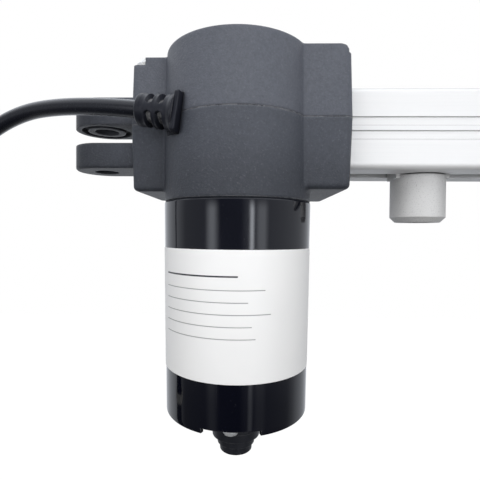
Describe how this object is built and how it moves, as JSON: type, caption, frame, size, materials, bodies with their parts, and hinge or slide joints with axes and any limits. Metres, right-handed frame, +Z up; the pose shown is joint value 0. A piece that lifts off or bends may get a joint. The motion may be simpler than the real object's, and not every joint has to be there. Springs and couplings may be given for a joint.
{
  "type": "linear actuator",
  "caption": "Recliner linear actuator: a hanging gear motor turns a lead screw that drives a slider along a slotted rail; clevis at one end, pin boss on the slider, power lead with plug.",
  "frame": {"origin": "centre of the rear clevis bore, midway between the two ears", "axes": "+X along the rail away from the clevis, +Y from the motor's side to the back, +Z up along the clevis bore, the motor hanging towards -Z"},
  "size_m": [0.3242, 0.0575, 0.212],
  "materials": {
    "housing_plastic": "fine spark-textured moulded plastic, dark slate grey",
    "gloss_black": "glossy black moulded sleeve",
    "label_film": "white printed film, left bare",
    "motor_steel": "zinc-plated drawn steel",
    "shaft_steel": "ground steel",
    "screw_steel": "bright zinc-plated screw",
    "rail_aluminium": "satin anodised extrusion",
    "slider_metal": "die-cast metal, lightly blasted",
    "nylon_white": "natural acetal",
    "gear_nylon": "cast nylon",
    "black_plastic": "black glass-filled nylon",
    "bronze": "sintered bronze",
    "copper_wire": "enamelled copper winding",
    "ferrite": "ferrite magnet, matt grey",
    "core_steel": "stacked steel sheets",
    "carbon": "carbon brush",
    "board_green": "glass-fibre circuit board",
    "seal_rubber": "flat rubber seal",
    "lead_rubber": "black round rubber-sheathed lead",
    "contact_brass": "plated brass pin"
  },
  "bodies": {
    "base": {"upper_housing": "housing_plastic", "lower_housing": "housing_plastic", "housing_screw_1": "screw_steel", "housing_screw_2": "screw_steel", "housing_screw_3": "screw_steel", "housing_screw_4": "screw_steel", "motor_seal": "seal_rubber", "motor_cover": "gloss_black", "rating_label": "label_film", "motor_can": "motor_steel", "magnet_1": "ferrite", "magnet_2": "ferrite", "brush_holder": "black_plastic", "brush_1": "carbon", "brush_2": "carbon", "motor_front_bush": "bronze", "motor_rear_bush": "bronze", "worm_top_bush": "bronze", "end_bell": "black_plastic", "end_screw_1": "screw_steel", "end_screw_2": "screw_steel", "screw_rear_bush": "bronze", "bearing_outer_race": "shaft_steel", "rail": "rail_aluminium", "rail_end_cap": "black_plastic", "screw_front_bush": "nylon_white", "cap_screw_1": "screw_steel", "cap_screw_2": "screw_steel", "switch_board": "board_green", "limit_switch_1": "black_plastic", "limit_switch_2": "black_plastic", "strain_relief": "black_plastic", "lead_tube": "lead_rubber", "lead_hank": "lead_rubber", "lead_tie": "black_plastic", "lead_plug": "black_plastic", "plug_contact_1": "contact_brass", "plug_contact_2": "contact_brass"},
    "rotor": {"motor_shaft": "shaft_steel", "worm": "shaft_steel", "armature_core": "core_steel", "winding_top": "copper_wire", "winding_low": "copper_wire", "commutator": "copper_wire"},
    "screw": {"worm_wheel": "gear_nylon", "lead_screw": "shaft_steel", "thrust_washer": "shaft_steel", "bearing_inner_race": "shaft_steel", "bearing_cage": "shaft_steel"},
    "slider": {"slider_block": "slider_metal", "drive_nut": "nylon_white", "nut_pin": "shaft_steel", "guide_shoe": "nylon_white"}
  },
  "joints": [
    {"name": "motor_spin", "type": "hinge", "parent": "base", "child": "rotor", "pos_m": [0.0472, -0.016, 0], "axis": [0, 0, 1], "range_deg": [-18769, 213430]},
    {"name": "screw_spin", "type": "hinge", "parent": "base", "child": "screw", "pos_m": [0.05, 0, 0], "axis": [1, 0, 0], "range_deg": [-873.01, 9927.1]},
    {"name": "slider_travel", "type": "slide", "parent": "base", "child": "slider", "axis": [1, 0, 0], "range_m": [-0.0097, 0.1103]}
  ],
  "couplings": [
    {"joint": "screw_spin", "follows": "motor_spin", "ratio": 0.046512},
    {"joint": "slider_travel", "follows": "motor_spin", "m_per_rad": 0.00002961}
  ]
}
